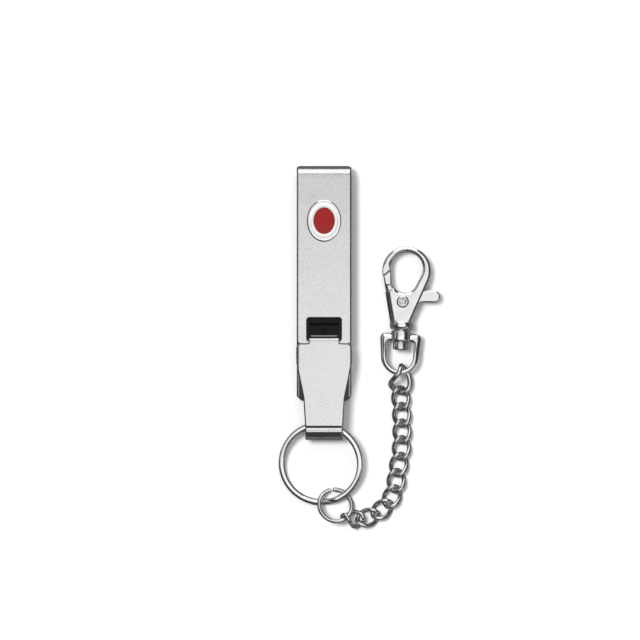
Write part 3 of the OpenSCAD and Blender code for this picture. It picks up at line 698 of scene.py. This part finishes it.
def build_hanger(scene):
    """The hanger: one strip that hooks round the window's bar, widens to bent shoulders, tapers, and turns back into
    an eye. A crease, as deep as a bell curve, runs across it where the eye begins."""
    t, top, hook_z = scene.clip_sizes.hanger_strip / MM, 7.5, 5.3
    eye, eye_r, lip = EYE[1:], 3.3, 35
    bend_r = 0.2 + t / 2
    neck, shoulder, waist, low = 4.58, 8.25, 6.12, 5.55  # half widths
    root_r, corner_r, reach, fade = 0.55, 1.15, 1.25, 2.0
    full_y, waist_y = FRONT_Y - 5.35, FRONT_Y - 15.76
    quarter, corner = [np.radians(np.linspace(0, 90, n)) for n in (8, 9)]
    corner = corner[1:]

    y = TONGUE_Y - t - 0.2
    hook = np.r_[[[y - 2.4, hook_z], [y, hook_z]], arc((y, hook_z + bend_r), bend_r, -90, 0, 6)[1:],
                 arc((y, top - bend_r), bend_r, 0, 90, 6)]
    flat = np.r_[FRONT_Y + root_r - root_r * np.sin(quarter), FRONT_Y, FRONT_Y - corner_r * (1 - np.cos(corner)),
                 np.linspace(FRONT_Y - 1.6, full_y, 8), np.linspace(FRONT_Y - 6.0, waist_y, 14),
                 np.linspace(FRONT_Y - 16.6, eye[0] + 1.3, 8), np.linspace(eye[0] + 1.15, eye[0] + 0.03, 16)]
    crease = lambda at: -0.42 * np.exp(-(((at - eye[0] - 0.28) / 0.5) ** 2))
    flat = np.stack([flat, top + crease(flat)], -1)
    bend = arc(eye, eye_r - t / 2, 90, 270 + lip, 60)
    bend[:24, 1] += crease(bend[:24, 0])
    out = ways(lip)
    tail_length = (6.98 - eye[1] + (eye_r - t) * out[0]) / out[1] - 0.35
    tail = bend[-1] + np.linspace(0.1, 1, 6)[:, None] * tail_length * out
    path = np.concatenate([hook, flat, bend, tail])

    y, k = path[:, 0], len(hook)
    half = np.full(len(y), low)
    half[:k] = neck
    half[k : k + 8] = neck + root_r * (1 - np.cos(quarter))
    half[k + 8 : k + 17] = shoulder - corner_r + corner_r * np.r_[0, np.sin(corner)]
    rest = slice(k + 17, k + len(flat))
    half[rest] = np.interp(-y[rest], [1.2 - FRONT_Y, -full_y, -waist_y, -eye[0]], [shoulder, shoulder, waist, low])
    depth = np.clip((y - (FRONT_Y - 6.55 - fade)) / fade, 0, 1) * (y < FRONT_Y + 1e-6) * (np.arange(len(y)) >= k + 8)
    depth = (depth * depth * (3 - 2 * depth))[::-1]

    def back(x, station):
        """The shoulders bend back: with the square of the way out over the reach, and steeply at the very edge."""
        past = np.clip((np.abs(x) - shoulder + reach) / reach, 0, 1)
        return (0.42 * past**2 + 0.6 * np.clip((past - 0.93) / 0.07, 0, 1) ** 2) * depth[station][:, None]

    shell = Shell().strip(path[::-1], half[::-1], t, 0.4, back)
    satin = satin_steel("hanger_satin", scene.clip_colours.steel)
    shell.make("hanger_strip", "hanger_plate", "hanger_steel", satin)


def build_key_ring(scene):
    """The split ring: two turns of flat wire. Its height over its plane is one level for a turn, then it crosses over
    and stays at the other level. The section is a rectangle with round corners, and both ends are rounded."""
    w, h, r = scene.ring_sizes.ring_band / MM / 2, 0.44, 0.3
    change, gap, start = 22, 2, -66
    a = np.linspace(0, 720 - change - gap, 481)
    rise = -0.46 * np.cos(np.pi * np.clip((a - 360 + change) / change, 0, 1))
    path = np.c_[(KEY_RING_R - w) * ways(a + start), rise]
    corner = r * np.maximum(ways(np.linspace(0, 90, 5)), 0) ** SLOPED + [w - r, h - r]
    section = np.concatenate([corner, corner[::-1] * [-1, 1], -corner, corner[::-1] * [1, -1]])
    shell = Shell().tube(path, UP, section[::-1], rounded=0.7).moved(RING_TILT, KEY_RING)
    # Painted light: the ring's nickel is made 1.16 times lighter than the chain's, a lighter copy that stands in for
    # how brightly its face is lit.
    nickel = bright_nickel("ring_lit_nickel", shade(scene.clip_colours.nickel, 1.16), 0.12)
    shell.make("split_ring", "key_ring", "ring_steel", nickel)


def build_jump_ring(scene):
    """The jump ring: round wire on a circle, open at its cut, with the wire's ends just rounded."""
    cut_at, half_cut, sizes = 99, 4.5, scene.ring_sizes
    r = sizes.jump_wire / MM / 2
    path = (JUMP_RING_R - r) * ways(np.linspace(cut_at + half_cut, cut_at + 360 - half_cut, 220))
    path = np.insert(path, 2, 0, -1)
    shell = Shell().tube(path, UP, ellipse(r, -r, sizes.around), rounded=0.16).moved(JUMP_TILT, JUMP_RING)
    nickel = bright_nickel("jump_nickel", scene.clip_colours.nickel, 0.09)
    shell.make("jump_ring_wire", "jump_ring", "chain_steel", nickel)


def link_shell(sizes, k, twist):
    """A curb link: an oval whose cosine and sine are raised to five sixths, turned about its length by the twist
    times its share of the way to the end, with round wire that is slightly flattened on its broad face."""
    power = lambda v: np.sign(v) * np.abs(v) ** (5 / 6)
    r = sizes.link_wire / MM / 2
    t = np.radians((np.arange(sizes.along) + 0.5) * 360 / sizes.along)
    x, y = k * (LINK_HALF[0] - r) * power(np.cos(t)), k * (LINK_HALF[1] - r) * power(np.sin(t))
    f = np.radians(twist) * power(np.cos(t))
    path, up = np.stack([x, y * np.cos(f), y * np.sin(f)], -1), np.stack([0 * f, -np.sin(f), np.cos(f)], -1)
    wire = 0.985 * k * r
    return Shell().tube(path, up, ellipse(wire, -0.96 * wire, sizes.around), closed=True)


def link_places():
    """Each link's name, size, twist, turn and place: the links between two joints lie halfway between them, along the
    line from one to the other."""
    out = []
    for n in range(2, 11):
        a, b = joint_place(f"link_{n:02d}_turn"), joint_place(f"link_{n - 1:02d}_turn")
        heading = math.degrees(math.atan2(*(b - a)[1::-1]))
        out.append((f"chain_link_{n:02d}", 1.0, 50, turn("z", heading), (a + b) / 2))
    last = (joint_place("link_10_turn") - turn("z", -10) @ [HALF_PITCH, 0, 0]) + [0.32, 0.15, 0.69]
    out.append(("chain_link_11", 0.995, 87, turn("z", -16) @ turn("y", 11.4) @ turn("x", -34), last))
    low, large = joint_place("link_01_turn"), 1.29
    run = unit(HOLD - low)
    slope, heading = math.degrees(math.asin(run[2])), math.degrees(math.atan2(run[1], run[0]))
    first = turn("z", heading) @ turn("y", -slope) @ turn("x", 26)
    out.append(("chain_link_01", large, 60, first, low + run * (large * 3.3 - 3.3 + HALF_PITCH)))
    return sorted(out)


def build_chain(scene):
    """The chain's links, each with its own place."""
    nickel = bright_nickel("chain_nickel", scene.clip_colours.nickel, 0.10)
    for name, k, twist, matrix, place in link_places():
        link_shell(scene.ring_sizes, k, twist).moved(matrix, place).make(name + "_wire", name, "chain_steel", nickel)


# The snap hook's outlines, in the hook's own frame, with the rivet at nought: circles as (x, y, radius)
BOW, NECK = (0.67, 9.29, 7.14), ((-3.3, -6.25), (2.35, -6.25))
EYE_CIRCLES = [(0.69, 10.07, 4.89), (0.24, 6.24, 3.7)]
SLOT = 1.1  # half the width of the slot that the lever turns in
CHEEK = (-3.3, 3.8)  # the cheeks' inner corner at the eye
ARM = [[-6.05, 7.35], [-5.3, 3.8], [-3.6, -0.5], [-1.6, 2.4], [-3.5, 4.9], [-4.0, 9.2], [-6.05, 7.35]]
ARM_THICK = [[-6.05, 7.35], [-5.47, 4.6], [-3.27, 4.6], [-3.5, 4.9], [-4.0, 9.2]]
TAB = np.r_[[[2.2, 2.2], [3.2, -1.0], [4.4, -0.55], [5.6, 0.25], [7.0, 0.33]], arc((9.2, 2.1), 1.75, -90, 90, 24),
            [[7.6, 3.9], [6.3, 3.85], [4.2, 2.9]]]


def by_angle(loop, centre):
    """A loop's points in the order of their angle round a centre."""
    return loop[np.argsort(np.degrees(np.arctan2(*(loop - centre).T[::-1])) % 360)]


def span(loop, start, end):
    """A loop's points after the stretch start, up to the stretch end, going round."""
    return loop[(start + 1 + np.arange((end - start) % len(loop))) % len(loop)]


def build_hook_body(scene):
    """The snap hook's cast body: two cheeks and a middle, cut for the lever, on a turned collar."""
    t, r = scene.hook_sizes.thickness / MM / 2, scene.hook_sizes.edge / MM
    outer = wrapped([BOW, (*NECK[0], 0), (*NECK[1], 0)], 240)
    outer = by_angle(resampled(np.r_[outer, outer[:1]], 0.6)[:-1], BOW[:2])
    eye = by_angle(wrapped(EYE_CIRCLES, 180), [0.4, 7.6])
    ray = lambda loop, p, q: crossing(np.r_[loop, loop[:1]], p, q)
    nose_cut = (-3.4, 9.95), (-7.0, 6.75)
    nose_out, nose_in = ray(outer, *nose_cut), ray(eye, *nose_cut)
    cheek_out, cheek_in = ray(outer, CHEEK, (-5.6, 2.75)), ray(eye, EYE_CIRCLES[1][:2], CHEEK)
    rim = np.r_[[cheek_out[1]], span(outer, cheek_out[0], nose_out[0]), [nose_out[1]]]
    hollow = np.r_[[cheek_in[1]], span(eye, cheek_in[0], nose_in[0]), [nose_in[1]]]
    back = cleared(np.r_[rim, hollow[::-1], [CHEEK]], 0.8)
    left = (rim[:, 0] < 0.3) & (rim[:, 1] < 2.8)
    front_rim = np.r_[[[-4.62, 2.9], [-2.5, -6.25]], rim[~left & (np.arange(len(rim)) > 0)]]
    front = cleared(np.r_[front_rim, hollow[::-1], [CHEEK]], r)

    limb = 4.4  # where the limb's solid middle begins
    high = rim[rim[:, 1] >= limb]
    high = high[(high[:, 0] > 0) | (high[:, 1] > 6)]
    limb_out, limb_in = ray(outer, (4.0, limb), (9.0, limb))[1], ray(eye, (1.0, limb), (6.0, limb))[1]
    bore = hollow[(hollow[:, 1] > limb) & ((hollow[:, 0] > 0) | (hollow[:, 1] > 8.5))]
    middle = np.r_[[limb_out], high, bore[::-1], [limb_in]]
    neck = np.array([[-2.5, -6.25], [2.35, -6.25], [ray(outer, (0, -4.2), (9, -4.2))[1][0], -4.2], [-2.97, -4.2]])

    shell = Shell()
    nose = np.clip((np.linalg.norm(front - [-5.18, 8.36], axis=-1) - 1.0) / 2, 0.3, 1)
    shell.slab(front, SLOT, t, share=nose, profile=wall(SLOT, t, 0, r))
    ledge = np.clip((-3.0 - back[:, 0]) / 0.3, 0, 1) * (back[:, 1] < 6.6)
    sloped = np.r_[wall(-t, -1.8, r, 0, power=1)[:-1], [[0.0, -1.72], [0.05, -1.62], [0.76, -SLOT]]]
    shell.slab(back, -t, -SLOT, share=ledge, profile=sloped)
    shell.slab(middle, -SLOT, SLOT).slab(neck, -SLOT, SLOT)
    bead = arc((0, 0), 1, 84, -84, 20)
    bead = np.sign(bead) * np.abs(bead) ** 0.9 * np.where(bead > 0, [0.87, 0.72], [0.87, 1.66]) + [2.6, -6.6]
    collar = np.r_[[[2.0, -5.88]], bead, [[1.46, -8.27], [1.46, -6.0]]]
    shell.lathe(collar, 96, hollow=True).moved(HOOK_FRAME, HOOK)
    plate = cast_nickel("cast_plate", scene.clip_colours.cast)
    shell.make("snap_body_cast", "snap_body", "cast_zinc", plate, sharp=32)


def build_gate(scene):
    """The lever: a thick arm that closes the eye, a hub between the cheeks, and a thumb tab."""
    t, t_end = scene.hook_sizes.lever / MM / 2, 1.7
    arm = cleared(resampled(np.array(ARM), 0.5)[:-1], 0.8)
    wide = np.where((arm[:, 0] > -4.2) & (arm[:, 1] > 2), 1.4, 1.0)
    sloped = [[0.22, 0.05 - t], [0.2, 0.05 - t], [0.0, 0.2 - t], [0.0, 0.35], [0.04, 0.42], [0.78, t - 0.05]]
    shell = Shell().slab(arm, -t, t, share=wide, profile=sloped)
    end = wall(-t_end, t_end, 0.35, 0.5)
    shell.slab(np.array(ARM_THICK), -t_end, t_end, share=np.array([0.5, 1.0, 1.0, 1.0, 0.5]), profile=end)
    hub = [(1.07, t), (2.76, t), (2.78, t), (2.86, t - 0.04), (2.9, t - 0.12), (2.9, 0.12 - t), (2.86, 0.04 - t),
           (2.78, -t), (2.3, -t), (2.3, -0.05), (1.07, -0.05)]
    shell.add(Shell().lathe(hub, 96, hollow=True).moved(turn("x", 90)))
    tab_t = t - 0.02
    shell.slab(cleared(TAB, 0.4), -tab_t, tab_t, profile=wall(-tab_t, tab_t, 0.35, 0.38))
    shell.moved(HOOK_FRAME, HOOK)
    plate = cast_nickel("lever_plate", scene.clip_colours.cast, 0.15)
    shell.make("snap_lever", "snap_gate", "cast_zinc", plate, sharp=32)


def build_rivet_and_spring(scene):
    """The hollow rivet with its rolled rim on each face, and the coil spring round it in the lever's recess."""
    profile = RIVET_SIDE + [(r, -y) for r, y in RIVET_SIDE[::-1]]
    rivet = Shell().lathe(profile, 72).moved(turn("x", 90)).moved(HOOK_FRAME, HOOK)
    steel = bright_nickel("rivet_steel", scene.clip_colours.steel, 0.2)
    rivet.make("rivet_tube", "gate_rivet", "pin_steel", steel, "snap_body")
    coil_r, pitch, wire = 1.6, 0.32, 0.125
    a = np.linspace(0, 720, 97)
    path = np.c_[coil_r * ways(a), -0.87 + pitch * a / 360]
    coil = Shell().tube(path, UP, ellipse(wire, -wire, 12)).moved(HOOK_FRAME, HOOK)
    steel = bright_nickel("spring_wire", scene.clip_colours.steel, 0.25)
    coil.make("spring_coil", "gate_spring", "pin_steel", steel, "snap_body")


def build_bail(scene):
    """The bail: a cast loop with round strands and a turned barrel, and the pin that it swivels on."""
    outer = wrapped([(-4.6, -10.8, 1.5), (4.6, -10.8, 1.5), (0, -16.1, 5.6)], 200)
    inner = wrapped([(-3.35, -12.35, 0.6), (3.35, -12.35, 0.6), (0, -16.35, 3.95)], 160)
    outer, inner = matched(outer, inner, (0, -15.5))
    shell = Shell().frame(outer, inner, -0.8, 0.8, 1.2, 0.75, drop=0.75)
    shell.lathe(BARREL, 96, hollow=True).moved(HOOK_FRAME, HOOK)
    plate = cast_nickel("bail_plate", scene.clip_colours.cast, 0.14)
    shell.make("bail_cast", "swivel_bail", "cast_zinc", plate, sharp=42)
    post = Shell().lathe(PIN, 64).moved(HOOK_FRAME, HOOK)
    plain = bright_nickel("pin_plain", scene.clip_colours.steel, 0.2)
    post.make("swivel_pin_turned", "swivel_pin", "pin_steel", plain, "snap_body")


# The stage

PIXEL = 0.2963  # millimetres for a pixel of the photograph
PHOTO, ORIGIN = 640, (324.05, 283.45)  # the photograph's size, and its pixel at the frame's origin
VIEW_CENTRE = np.array([(PHOTO / 2 - ORIGIN[0]) * PIXEL, (ORIGIN[1] - PHOTO / 2) * PIXEL, 0.0])
VIEW_SPAN = PHOTO * PIXEL
LENS, SENSOR = 300, 36
# Each soft light's name, place, target, size and level, in millimetres
LIGHTS = (
    ("top_light", (105, -106, 420), (105, -106, 0), (530, 248), 1.1),
    ("top_light_far", (105, 168, 420), (105, 168, 0), (530, 300), 0.82),
    ("back_light", (0, 743, 421), (0, 0, 421), (800, 850), 1.45),
    ("side_light", (-230, 44, 420), (-230, 44, 0), (140, 548), 0.5),
    ("low_light_right", (430, -560, 300), (0, 0, 0), (800, 340), 0.35),
    ("low_light_left", (-610, 350, 300), (0, 0, 0), (800, 340), 0.35),
)


def placed(name, data, run=None):
    """Puts lamp, camera or mesh data into the scene as an object. One with a run looks that way."""
    thing = bpy.data.objects.new(name, data)
    bpy.context.scene.collection.objects.link(thing)
    if run is not None:
        thing.rotation_mode = "QUATERNION"
        thing.rotation_quaternion = Vector(run).to_track_quat("-Z", "Y")
    return thing


def area(name, place, target, size, level):
    """A soft rectangular light that points at the target. Its watts are pi times its area times its level."""
    data = bpy.data.lights.new(name, "AREA")
    data.shape, data.size, data.size_y = "RECTANGLE", size[0] * MM, size[1] * MM
    data.energy = math.pi * data.size * data.size_y * level
    lamp = placed(name, data, [t - p for t, p in zip(target, place)])
    lamp.location = [v * MM for v in place]


def build_stage(scene):
    """A white floor under the object, soft lights and the camera straight above, far off with a long lens."""
    n = 9
    u = np.linspace(-900, 900, n)
    x, y = np.meshgrid(u, u, indexing="ij")
    points = np.stack([x, y, 0 * x], -1).reshape(-1, 3) + VIEW_CENTRE
    i, j = np.meshgrid(np.arange(n - 1), np.arange(n - 1), indexing="ij")
    k = (i * n + j).ravel()
    mesh = bpy.data.meshes.new("table_top")
    mesh.from_pydata((points * MM).tolist(), [], np.stack([k, k + n, k + n + 1, k + 1], -1).tolist())
    mesh.materials.append(white_floor("table_white", scene.clip_colours.floor))
    placed("table_top", mesh)
    key = placed("key_light", bpy.data.lights.new("key_light", "SUN"), (2.37, -1.33, -7))
    key.data.energy, key.data.angle = 2.22, math.radians(18)
    # The sun isn't seen in reflections, where it would leave thin white lines
    key.visible_glossy = False
    for light in LIGHTS:
        area(*light)
    scene.world = bpy.data.worlds.new("room")
    scene.world.use_nodes = True
    room = scene.world.node_tree.nodes["Background"].inputs
    room["Color"].default_value, room["Strength"].default_value = (0.046, 0.046, 0.047, 1), 1.0
    data = bpy.data.cameras.new("camera")
    data.type, data.lens, data.sensor_width, data.sensor_fit = "PERSP", LENS, SENSOR, "AUTO"
    data.clip_start, data.clip_end = 0.05, 20
    camera = placed("camera", data)
    camera.location = (VIEW_CENTRE[0] * MM, VIEW_CENTRE[1] * MM, (VIEW_SPAN * LENS / SENSOR + 3) * MM)
    scene.camera = camera
    scene.view_settings.view_transform = "Standard"


# Operators and the panel


class KEYCLIP_OT_clip(Operator):
    """Builds the folded belt clip"""

    bl_idname = "keyclip.clip"
    bl_label = "Belt Clip"

    def execute(self, context):
        build_clip(context.scene)
        return {"FINISHED"}


class KEYCLIP_OT_badge(Operator):
    """Builds the badge plate and its enamel"""

    bl_idname = "keyclip.badge"
    bl_label = "Badge"

    def execute(self, context):
        build_badge(context.scene)
        return {"FINISHED"}


class KEYCLIP_OT_keeper(Operator):
    """Builds the keeper spring"""

    bl_idname = "keyclip.keeper"
    bl_label = "Keeper Spring"

    def execute(self, context):
        build_keeper(context.scene)
        return {"FINISHED"}


class KEYCLIP_OT_hanger(Operator):
    """Builds the hanger plate"""

    bl_idname = "keyclip.hanger"
    bl_label = "Hanger Plate"

    def execute(self, context):
        build_hanger(context.scene)
        return {"FINISHED"}


class KEYCLIP_OT_rings(Operator):
    """Builds the split ring and the jump ring"""

    bl_idname = "keyclip.rings"
    bl_label = "Rings"

    def execute(self, context):
        build_key_ring(context.scene)
        build_jump_ring(context.scene)
        return {"FINISHED"}


class KEYCLIP_OT_chain(Operator):
    """Builds the curb chain's links"""

    bl_idname = "keyclip.chain"
    bl_label = "Chain"

    def execute(self, context):
        build_chain(context.scene)
        return {"FINISHED"}


class KEYCLIP_OT_hook(Operator):
    """Builds the snap hook's body, lever, rivet and spring"""

    bl_idname = "keyclip.hook"
    bl_label = "Snap Hook"

    def execute(self, context):
        build_hook_body(context.scene)
        build_gate(context.scene)
        build_rivet_and_spring(context.scene)
        return {"FINISHED"}


class KEYCLIP_OT_bail(Operator):
    """Builds the swivel bail and its pin"""

    bl_idname = "keyclip.bail"
    bl_label = "Swivel Bail"

    def execute(self, context):
        build_bail(context.scene)
        return {"FINISHED"}


class KEYCLIP_OT_stage(Operator):
    """Builds the floor, the lights and the camera"""

    bl_idname = "keyclip.stage"
    bl_label = "Stage"

    def execute(self, context):
        build_stage(context.scene)
        return {"FINISHED"}


OPERATORS = (KEYCLIP_OT_clip, KEYCLIP_OT_badge, KEYCLIP_OT_keeper, KEYCLIP_OT_hanger, KEYCLIP_OT_rings,
             KEYCLIP_OT_chain, KEYCLIP_OT_hook, KEYCLIP_OT_bail, KEYCLIP_OT_stage)
GROUPS = {"clip_sizes": ClipSizes, "ring_sizes": RingSizes, "hook_sizes": HookSizes, "clip_colours": Colours}


class KEYCLIP_PT_panel(Panel):
    """Lists the pieces of the key clip"""

    bl_idname = "KEYCLIP_PT_panel"
    bl_label = "Belt Key Clip"
    bl_space_type = "VIEW_3D"
    bl_region_type = "UI"
    bl_category = "Key Clip"

    def draw(self, context):
        for operator in OPERATORS:
            self.layout.operator(operator.bl_idname)
        for name in GROUPS:
            group = getattr(context.scene, name)
            for key in group.__annotations__:
                self.layout.prop(group, key)


def register():
    for kind in (*GROUPS.values(), *OPERATORS, KEYCLIP_PT_panel):
        bpy.utils.register_class(kind)
    for name, kind in GROUPS.items():
        setattr(bpy.types.Scene, name, PointerProperty(type=kind))


def unregister():
    for name in GROUPS:
        delattr(bpy.types.Scene, name)
    for kind in reversed((*GROUPS.values(), *OPERATORS, KEYCLIP_PT_panel)):
        bpy.utils.unregister_class(kind)


def main():
    """Registers the add-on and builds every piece."""
    register()
    bpy.ops.keyclip.stage()
    bpy.ops.keyclip.clip()
    bpy.ops.keyclip.badge()
    bpy.ops.keyclip.keeper()
    bpy.ops.keyclip.hanger()
    bpy.ops.keyclip.rings()
    bpy.ops.keyclip.chain()
    bpy.ops.keyclip.hook()
    bpy.ops.keyclip.bail()


if __name__ == "__main__":
    main()
